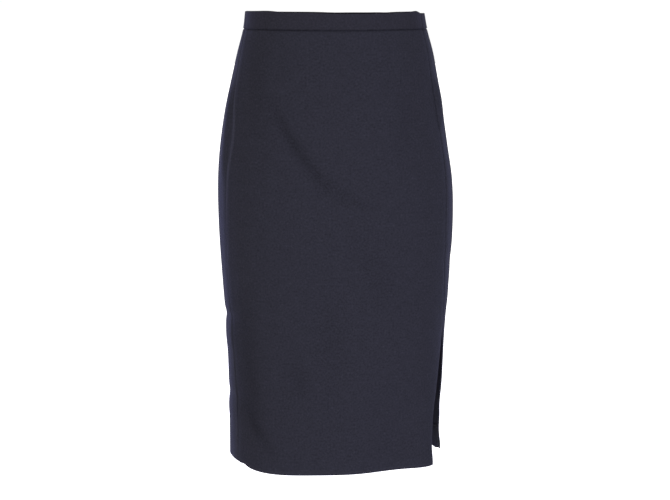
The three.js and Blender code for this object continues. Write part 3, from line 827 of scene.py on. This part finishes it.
class SKIRT_OT_stage(bpy.types.Operator):
    """Make the camera, the pale floor and the light."""

    bl_idname = "skirt.stage"
    bl_label = "Stage"

    def execute(self, context):
        stage = context.scene.skirt_stage
        camera_data = bpy.data.cameras.new("camera")
        camera_data.sensor_width = 36.0
        camera_data.lens = stage.focal / stage.picture_width * camera_data.sensor_width
        camera = new_object("camera", camera_data)
        camera.location = (0, -stage.distance, 0)
        camera.rotation_euler = (math.pi / 2 - stage.tilt, 0, 0)
        context.scene.camera = camera
        context.scene.view_settings.view_transform = "Standard"
        self.surroundings(context.scene, stage)
        self.floor(stage)
        for name, power, place, aim, width, colour in LIGHTS:
            data = bpy.data.lights.new(name, "AREA")
            data.energy = getattr(stage, power)
            data.color = colour
            data.size = width
            light = new_object(name, data)
            light.location = place
            light.rotation_euler = (Vector((0, 0, aim)) - Vector(place)).to_track_quat("-Z", "Y").to_euler()
            light.visible_camera = False
        return {"FINISHED"}

    def surroundings(self, scene, stage):
        """White where the camera looks past the skirt, and a softer light on the skirt."""
        scene.world = bpy.data.worlds.new("white surroundings")
        scene.world.use_nodes = True
        tree = scene.world.node_tree
        seen = new_node(tree, "ShaderNodeLightPath").outputs["Is Camera Ray"]
        ambient = [stage.world * share for share in AMBIENT_TINT]
        bright = two_colours(tree, seen, ambient, [stage.white] * 3)
        set_inputs(tree.nodes["Background"], {"Color": bright})

    def floor(self, stage):
        """A pale floor that glows white for the camera only."""
        mesh = bpy.data.meshes.new("floor")
        half, drop = FLOOR_HALF, -stage.floor_drop
        corners = [(-half, -half, drop), (half, -half, drop), (half, half, drop), (-half, half, drop)]
        mesh.from_pydata(corners, [], [(0, 1, 2, 3)])
        material, tree, shader = new_material("pale floor", {"Roughness": 0.9, "Specular IOR Level": 0.1})
        grain = noise_node(tree, new_node(tree, "ShaderNodeTexCoord").outputs["Object"], 3.0, 3)
        seen = new_node(tree, "ShaderNodeLightPath").outputs["Is Camera Ray"]
        set_inputs(shader, {
            "Base Color": two_colours(tree, grain, (0.93, 0.93, 0.93), (0.95, 0.95, 0.95)),
            "Emission Color": two_colours(tree, seen, [0] * 3, [stage.white] * 3),
            "Emission Strength": 1,
        })
        floor = new_object("floor", mesh, material)


def slit_opened(grid):
    """0 where the slit's seam is sewn and 1 below the slit's top, with a short change between."""
    return smooth(slit_share(grid.z), 0.0, 0.03)


def panel_relief(side, edges, grid, dart):
    """How far a panel's face lies out from the hanging cloth, and how dark the painted shade along its seams,
    darts and creases is.
    """
    x, across = grid.points[..., 0], grid.lay[..., 0]
    depth, shade = crease_depth(side, x, grid.points[..., 2])
    lift = RIPPLE_DEPTH * ripple(across, grid.z) - depth + side_waves(x, grid.z)
    if side == "front":
        behind_seams = ((1, -grid.to_end), (-1, -grid.from_start))
    elif edges[0] == "slit":
        behind_seams = ((1, grid.from_start),)
    else:
        behind_seams = ((-1, grid.to_end),)
    for hand, behind in behind_seams:
        lift += corner_fullness(hand, behind, grid.z)
    length = size("length")
    lift += smooth(-grid.z, length - HEM_WAVE_REACH, length) * HEM_WAVE * np.sin(across / 21 + 0.6)
    # The panel is drawn in under the band's lower edge, and its tucked-up rows lie further in
    below_band = -size("band_height") - grid.z
    lift -= 1.2 * hump(np.maximum(below_band, 0), 0, 1.6) + 0.8 * smooth(-below_band, 0, 1.5)
    # Painted shade along the seam under the band
    painted_seam_shade = 0.8 * hump(np.maximum(below_band - SEAM_UP, 0), 0, 1.4)
    allowance = size("allowance")
    pucker = 1 + 0.25 * np.sin(grid.z / 3.1 + 2 * np.sin(grid.z / 11))
    for distance, kind in zip((grid.from_start, grid.to_end), edges):
        sewn = 1 - slit_opened(grid) if kind == "slit" else 1
        press, painted_seam_dark = EDGE_PRESS[kind]
        lift -= sewn * press * pucker * hump(distance, 0, 1.2)
        lift += sewn * 0.4 * (1 - smooth(distance, allowance - 3, allowance + 3))
        # Painted shade along each sewn edge
        painted_seam_shade += painted_seam_dark * sewn * hump(distance, 0, 0.9)
    if dart is not None:
        place = np.abs((grid.to_end if dart < 0 else grid.from_start) - abs(dart))
        sewn = 1 - smooth(below_band, size("dart_length") * 0.7, size("dart_length"))
        lift += sewn * (DART_SWELL * hump(place, 0, 6) - DART_PRESS * hump(place, 0, 0.7))
        # Painted shade along the dart's line
        painted_seam_shade += sewn * DART_PAINTED_SHADE * hump(place, 0, 0.5)
    return lift, painted_seam_shade + CREASE_PAINTED_SHADE * shade


def painted_seam_light(side, edges, grid):
    """Painted highlights: lighter lines in the cloth's colour next to the side seams, where the side light
    catches them.
    """
    by_waist = hump(grid.z, -70, 38, 4)
    by_slit = 0.9 * smooth(-grid.z, 450, 540)
    if side == "front":
        ridge = 0.9 + 7.5 * hump(grid.z, -185, 44)
        line = 2.0 * hump(grid.z, -190, 100, 4) * hump(grid.from_start, ridge, 2.4)
        line += 1.5 * by_waist * hump(grid.from_start, 0, 6)
        return line + by_slit * hump(grid.from_start, 0, 7)
    if edges[0] == "slit":
        return 0.9 * hump(grid.from_start, 6.0, 1.0) * hump(grid.z, -212, 55, 4)
    return (0.9 * by_waist + by_slit) * hump(grid.to_end, 0, 14)


def make_panel(name, side, start, stop, edges, node, flat, dart=None):
    """A skirt panel. Each of its two edges is a seam, or the free edge of the slit below the slit's top."""
    length, band, wall = size("length"), size("band_height"), size("cloth_wall")
    allowance, hem_top, step = size("allowance"), length - size("hem_depth"), size("mesh_step")
    heights = [[up - band for up in TUCKED_UP], row_heights(SEAM_UP - band, -length, step)]
    grid = cloth_grid(side, np.concatenate(heights), start, stop, int(flat[0] / MM / step), OVERLAP, dart)
    lift, dark = panel_relief(side, edges, grid, dart)
    sag = hem_sag(grid.points[..., 0])
    by_slit = side == "back" and edges[0] == "slit"
    if by_slit:
        sag = sag + 3.0 * hump(grid.from_start, 28, 18)
    grid.points[..., 2] -= smooth(-grid.z, length - HEM_SAG_REACH, length) * sag

    # The free edges are the hem and the slit's edge, and a seam that isn't pressed flat is rounded like them
    nearest = np.full(grid.z.shape, np.inf)
    for distance, kind in zip((grid.from_start, grid.to_end), edges):
        if kind != "flat seam":
            nearest = np.minimum(nearest, np.maximum(distance, 0))
    by_seam = 1 - smooth(np.minimum(grid.from_start, grid.to_end), allowance - 0.4, allowance + 0.4)
    turned_up = smooth(-grid.z, hem_top - 0.6, hem_top + 0.6)
    thickness = np.maximum(wall + ALLOWANCE_LAYER * by_seam, wall + HEM_LAYER * turned_up)
    rounding = np.maximum(fold_round(grid.bottom, 0.45 * (wall + HEM_LAYER)), fold_round(nearest, 0.4 * wall))
    rounding = np.minimum(rounding, thickness * 0.48)

    fold = 0.5 * np.exp(-grid.bottom / 6)
    if "slit" in edges:
        fold += slit_opened(grid) * np.exp(-nearest / 1.2)
    # Lighter worn folds at the hem and the slit's edge, less the painted shade, plus the painted seam
    # highlights
    tone = np.clip(fold, 0, 1) - dark + painted_seam_light(side, edges, grid)
    inner_tone = tone + INSIDE_TONE
    # Painted shade inside the slit's back edge, deepest towards the hem
    if by_slit:
        low = 1 - smooth(grid.bottom, 26, 52) + 0.8 * (1 - smooth(grid.bottom, 6, 30))
        inner_tone = inner_tone + SLIT_INSIDE_PAINTED_SHADE * hump(grid.from_start, 0, 45) * low
    suiting = cloth_material("navy suiting")
    made, inner = wall_object(name, grid, lift, thickness, rounding, tone, inner_tone, suiting)
    finish_piece(made, "skirt", "cloth", node)
    INSIDES[name] = (grid, inner)


class SKIRT_OT_front_panel(bpy.types.Operator):
    """Make the front panel, from side seam to side seam, with the slit's front edge."""

    bl_idname = "skirt.front_panel"
    bl_label = "Front Panel"

    def execute(self, context):
        make_panel("skirt_front", "front", right_seam_angle, front_edge_angle, ("flat seam", "slit"),
                   "front_panel", FRONT_FLAT)
        return {"FINISHED"}


class SKIRT_OT_back_panels(bpy.types.Operator):
    """Make the two back panels, with their darts and the slit's back edge."""

    bl_idname = "skirt.back_panels"
    bl_label = "Back Panels"

    def execute(self, context):
        dart = size("dart_place")
        make_panel("skirt_back_left", "back", back_edge_angle, middle_from_left, ("slit", "seam"),
                   "back_panel_left", BACK_LEFT_FLAT, -dart)
        make_panel("skirt_back_right", "back", middle_from_right, right_seam_angle, ("seam", "flat seam"),
                   "back_panel_right", BACK_RIGHT_FLAT, dart)
        return {"FINISHED"}


def band_dip(side, x):
    """How far the waistband's top edge lies under the plain ring."""
    down = LEFT_BAND_DIP * smooth(x, *LEFT_BAND_DIP_SPAN)
    for dip in (row for row in BAND_DIPS if side in row.sides):
        down = down + dip.down * hump(x, dip.x, dip.reach)
    return down


class SKIRT_OT_waistband(bpy.types.Operator):
    """Make the waistband's three lengths."""

    bl_idname = "skirt.waistband"
    bl_label = "Waistband"

    def execute(self, context):
        band, wall = size("band_height"), size("band_wall")
        heights = row_heights(0, -band, BAND_STEP)
        for name, side, start, stop, node in (
            ("band_front", "front", right_seam_angle, left_seam_angle, "waistband_front"),
            ("band_back_left", "back", left_seam_angle, middle_from_left, "waistband_back_left"),
            ("band_back_right", "back", middle_from_right, right_seam_angle, "waistband_back_right"),
        ):
            grid = cloth_grid(side, heights, start, stop, BAND_COLUMNS, 0.0)
            grid = self.with_ends(grid, side, start is middle_from_right, stop is middle_from_left)
            across, nearest = grid.lay[..., 0], np.maximum(np.minimum(grid.from_start, grid.to_end), 0)
            pucker = np.sin(across / 2.9 + 1.5 * np.sin(across / 13))
            lift = 0.4 + 0.12 * ripple(across * 1.7, grid.z * 3)
            lift += 0.06 * pucker * np.exp(-grid.bottom / 3) - 0.5 * hump(nearest, 0, 1.1)
            rounding = np.maximum(fold_round(grid.top, wall * 0.46), fold_round(grid.bottom, wall * 0.3))
            rounding = np.maximum(rounding, fold_round(nearest, wall * 0.3))
            # Lighter just under the folded top edge, with painted shade along the very top and along the seam
            # below
            tone = 0.4 * hump(grid.top, 1.2, 0.9) - 0.7 * hump(grid.bottom, 0, 1.2)
            tone -= 0.9 * hump(grid.top, 0, 0.8)
            # Inside, the band is darkened by painted shade
            made, _ = wall_object(name, grid, lift, np.full(lift.shape, wall), rounding, tone,
                                  tone + BAND_INSIDE_PAINTED_SHADE, cloth_material("navy band suiting"))
            finish_piece(made, "skirt", "band_cloth", node)
        return {"FINISHED"}

    def with_ends(self, grid, side, zip_at_start, zip_at_end):
        """The grid with its ends moved to overlap, or to leave room for the zip, and its top edge dipped."""
        meet = smooth(grid.z, *ENDS_MEET_SPAN)
        at_zip = ZIP_GAP * (1 - meet) + ENDS_MEET * meet
        start_shift, end_shift = (at_zip if zipped else OVERLAP for zipped in (zip_at_start, zip_at_end))
        shift = np.where(grid.from_start < grid.to_end, -start_shift, end_shift)
        across = np.gradient(grid.points, axis=1)
        across /= np.linalg.norm(across, axis=-1, keepdims=True)
        near_end = np.exp(-np.minimum(grid.from_start, grid.to_end) / ENDS_REACH)
        points = grid.points + across * (shift * near_end)[..., None]
        points[..., 2] -= band_dip(side, points[..., 0]) * (1 + grid.z / size("band_height"))
        return grid._replace(points=points, normals=grid_normals(points))


def back_face(x, z):
    """How far behind the middle the plain ring's back lies."""
    square = value_at("back_square", z)
    wide = np.where(np.asarray(x) > 0, value_at("left", z), value_at("right", z))
    return value_at("back", z) * (1 - (np.abs(x) / wide) ** square) ** (1 / square)


def inside_wall(z):
    """How far inside the back's face a strip lies so that it clears the band or the panel."""
    low, high = UNDER_BAND
    under = np.clip((-np.asarray(z, float) - low) / (high - low), 0, 1)
    return size("band_wall") * (1 - under) + UNDER_PANEL * under + TAPE_CLEARANCE


def arc(radius, middle, angles):
    """Pairs along an arc whose middle lies so far up."""
    return [(radius * math.cos(a), middle + radius * math.sin(a)) for a in angles]


def side_walls(target, first, second):
    """Faces between two loops of the same number of points."""
    for i in range(len(first)):
        j = (i + 1) % len(first)
        target.faces.new((first[i], first[j], second[j], second[i]))


def plate(target, outline, near, far):
    """A plate in the XZ plane, between two depths."""
    front, back = ([target.verts.new((x, depth, z)) for x, z in outline] for depth in (near, far))
    target.faces.new(front)
    target.faces.new(back[::-1])
    side_walls(target, back, front)


def pierced_plate(target, outline, hole, half, thin_axis):
    """A plate with a hole, half as thick on each side of its middle, square to X (0) or to Y (1)."""
    layers = []
    for depth in (-half, half):
        loops = []
        for pairs in (outline, hole):
            places = [list(pair) for pair in pairs]
            for place in places:
                place.insert(thin_axis, depth)
            loops.append([target.verts.new(place) for place in places])
        edges = [target.edges.new(ends) for loop in loops for ends in zip(loop, loop[1:] + loop[:1])]
        bmesh.ops.triangle_fill(target, use_beauty=True, use_dissolve=False, edges=edges)
        layers.append(loops)
    for first, second in zip(*layers):
        side_walls(target, first, second)


class SKIRT_OT_zip(bpy.types.Operator):
    """Make the concealed zip: its tapes, teeth, slider and pull."""

    bl_idname = "skirt.zip"
    bl_label = "Concealed Zip"

    def execute(self, context):
        self.tapes()
        self.teeth()
        self.slider()
        self.pull()
        return {"FINISHED"}

    def tapes(self):
        """Two woven tapes with fine ridges along them."""
        bottom = -size("zip_length")
        heights = row_heights(ZIP_TOP, bottom, TAPE_STEP)
        for name, low, high, node in (
            ("tape_left", TAPE_FOLD, TAPE_REACH, "zip_tape_left"),
            ("tape_right", -TAPE_REACH, -TAPE_FOLD, "zip_tape_right"),
        ):
            x, z = np.meshgrid(np.linspace(high, low, TAPE_COLUMNS), heights)
            points = np.stack([x, back_face(x, z) - inside_wall(z), z], -1)
            plain = np.zeros(x.shape)
            lay = np.stack([x, z, plain], -1)
            grid = Grid(points, grid_normals(points), lay, high - x, x - low, ZIP_TOP - z, z - bottom, z)
            lift = -0.2 + 0.08 * np.cos(x * 2.4)
            made, _ = wall_object(
                name, grid, lift, plain + TAPE_WALL, plain, plain, plain, cloth_material("navy zip tape"))
            finish_piece(made, "skirt", "zip_tape", node)

    def teeth(self):
        """Two rows of rounded nylon loops that lock together in the middle."""
        pitch = size("tooth_pitch")
        first, last = SLIDER_BOTTOM - 0.5, 3.5 - size("zip_length")
        around = np.linspace(0, math.tau, TOOTH_SIDES, endpoint=False)
        bend = np.linspace(-math.pi / 2, math.pi / 2, TOOTH_RINGS)
        points, faces = [], []
        for k in range(int((first - last) / pitch)):
            for hand, late in ((-1, 0), (1, 0.5)):
                z = first - (k + late) * pitch
                y = float(back_face(0.0, z) - inside_wall(z)) - 1.9
                faces += tube_faces(TOOTH_RINGS, TOOTH_SIDES, len(points))
                for x, rise in zip(hand * (1.9 - 2.1 * np.cos(bend)), 0.62 * np.sin(bend)):
                    points += [
                        (x * 0.9, y + rise + 0.2 * math.sin(a), z + 0.33 * math.cos(a)) for a in around]
        made = mesh_object("zip_teeth", points, faces, hard_material("navy nylon"))
        finish_piece(made, "skirt", "zip_coil", "zip_chain")

    def slider(self):
        """A rounded body on the chain, and a neck that comes out between the band's ends to a round bail."""
        shape = bmesh.new()
        plate(shape, SLIDER_OUTLINE, SLIDER_FACE, SLIDER_FACE - SLIDER_DEPTH)
        neck = [(SLIDER_FACE - 1, -BAIL_OUT), (0.0, -BAIL_OUT)]
        turns = np.linspace(0.15, math.pi - 0.15, 14)
        neck += [(BAIL_OUT * math.sin(a), -BAIL_OUT * math.cos(a)) for a in turns]
        neck += [(0.0, BAIL_OUT), (SLIDER_FACE - 1, BAIL_OUT)]
        hole = arc(BAIL_HOLE, 0.0, np.linspace(0, math.tau, 20, endpoint=False))
        pierced_plate(shape, neck, hole, BAIL_HALF, 0)
        made = self.bevelled("zip_slider_body", shape, 0.22, BAND_LEAN)
        finish_piece(made, "skirt", "zip_metal", "zip_slider")

    def pull(self):
        """A drop-shaped tab whose bar runs through the bail."""
        outline = [(-2.7, 0.6), (-2.7, -4.6)]
        outline += arc(3.4, -18.6, np.linspace(math.pi, math.tau, 15))
        outline += [(2.7, -4.6), (2.7, 0.6)]
        shape = bmesh.new()
        pierced_plate(shape, outline, PULL_SLOT, PULL_HALF, 1)
        made = self.bevelled("pull_tab", shape, 0.25, BAND_LEAN - PULL_REST)
        finish_piece(made, "zip_pull", "zip_metal", "zip_pull")

    def bevelled(self, name, shape, width, lean):
        """An enamelled piece with rounded edges, drawn round the hinge in millimetres and set there."""
        bmesh.ops.recalc_face_normals(shape, faces=shape.faces)
        sharp = [e for e in shape.edges if len(e.link_faces) == 2 and e.calc_face_angle() > 0.7]
        bmesh.ops.bevel(
            shape, geom=sharp, offset=width, segments=2, profile=0.6, affect="EDGES", clamp_overlap=True)
        bmesh.ops.recalc_face_normals(shape, faces=shape.faces)
        mesh = bpy.data.meshes.new(name)
        shape.to_mesh(mesh)
        shape.free()
        mesh.shade_smooth()
        mesh.set_sharp_from_angle(angle=math.radians(50))
        mesh.transform(Matrix.Translation(HINGE) @ Matrix.Rotation(lean, 4, "X") @ Matrix.Scale(MM, 4))
        return new_object(name, mesh, hard_material("navy enamel"))


def sample_inside(name, height, step):
    """Points and inward normals along the inside of a panel at one height, a step apart."""
    grid, inner = INSIDES[name]
    row = int(np.argmin(np.abs(grid.z[:, 0] - height)))
    line, normals = inner[row], -grid.normals[row]
    reached = np.concatenate([[0], np.cumsum(np.linalg.norm(np.diff(line, axis=0), axis=1))])
    wanted = np.arange(OVERLOCK_FROM_SEAM, reached[-1] - OVERLOCK_FROM_SEAM, step)
    return [np.stack([np.interp(wanted, reached, values[:, i]) for i in range(3)], -1)
            for values in (line, normals)]


def thread_points(path):
    """The points of a thread along a path, ring by ring."""
    along = np.gradient(path, axis=0)
    along /= np.linalg.norm(along, axis=1, keepdims=True)
    aside = np.cross(along, (0.0, 0.0, 1.0))
    weak = np.linalg.norm(aside, axis=1) < 0.1
    aside[weak] = np.cross(along[weak], (1.0, 0.0, 0.0))
    aside /= np.linalg.norm(aside, axis=1, keepdims=True)
    turns = np.linspace(0, math.tau, THREAD_SIDES, endpoint=False)[None, :, None]
    rings = np.cos(turns) * aside[:, None] + np.sin(turns) * np.cross(along, aside)[:, None]
    return (path[:, None] + THREAD_RADIUS * rings).reshape(-1, 3).tolist()


class SKIRT_OT_sewing(bpy.types.Operator):
    """Sew the overlocked edge of the turned-up hem, inside each panel."""

    bl_idname = "skirt.sewing"
    bl_label = "Sewing"

    def execute(self, context):
        hem_top = size("hem_depth") - size("length")
        points, faces = [], []
        for name in INSIDES:
            line, facing = sample_inside(name, hem_top - OVERLOCK_UNDER, OVERLOCK_STEP)
            path = line + facing * OVERLOCK_OUT
            path[::2, 2] += OVERLOCK_UP
            path[1::2, 2] -= OVERLOCK_DOWN
            faces += tube_faces(len(path), THREAD_SIDES, len(points))
            points += thread_points(path)
        made = mesh_object("hem_overlock", points, faces, hard_material("navy thread"))
        finish_piece(made, "skirt", "cloth")
        return {"FINISHED"}


class SKIRT_PT_panel(bpy.types.Panel):
    """Lists the skirt's pieces and the stage."""

    bl_idname = "SKIRT_PT_panel"
    bl_label = "Pencil Skirt"
    bl_space_type = "VIEW_3D"
    bl_region_type = "UI"
    bl_category = "Skirt"

    def draw(self, context):
        for operator in OPERATORS:
            self.layout.operator(operator.bl_idname)
        for settings in ("skirt_sizes", "cloth_finish", "skirt_stage"):
            group = getattr(context.scene, settings)
            box = self.layout.box()
            for name in group.bl_rna.properties.keys():
                if name not in ("rna_type", "name"):
                    box.prop(group, name)


OPERATORS = (
    SKIRT_OT_stage,
    SKIRT_OT_front_panel,
    SKIRT_OT_back_panels,
    SKIRT_OT_waistband,
    SKIRT_OT_zip,
    SKIRT_OT_sewing,
)
CLASSES = (SkirtSizes, ClothFinish, StageSettings, *OPERATORS, SKIRT_PT_panel)


def register():
    """Makes the skirt's settings and operators known to Blender."""
    for kind in CLASSES:
        bpy.utils.register_class(kind)
    bpy.types.Scene.skirt_sizes = PointerProperty(type=SkirtSizes)
    bpy.types.Scene.cloth_finish = PointerProperty(type=ClothFinish)
    bpy.types.Scene.skirt_stage = PointerProperty(type=StageSettings)


def unregister():
    """Takes them away again."""
    del bpy.types.Scene.skirt_sizes
    del bpy.types.Scene.cloth_finish
    del bpy.types.Scene.skirt_stage
    for kind in reversed(CLASSES):
        bpy.utils.unregister_class(kind)


def main():
    """Makes the skirt and its stage."""
    register()
    bpy.ops.skirt.stage()
    bpy.ops.skirt.front_panel()
    bpy.ops.skirt.back_panels()
    bpy.ops.skirt.waistband()
    bpy.ops.skirt.zip()
    bpy.ops.skirt.sewing()


if __name__ == "__main__":
    main()
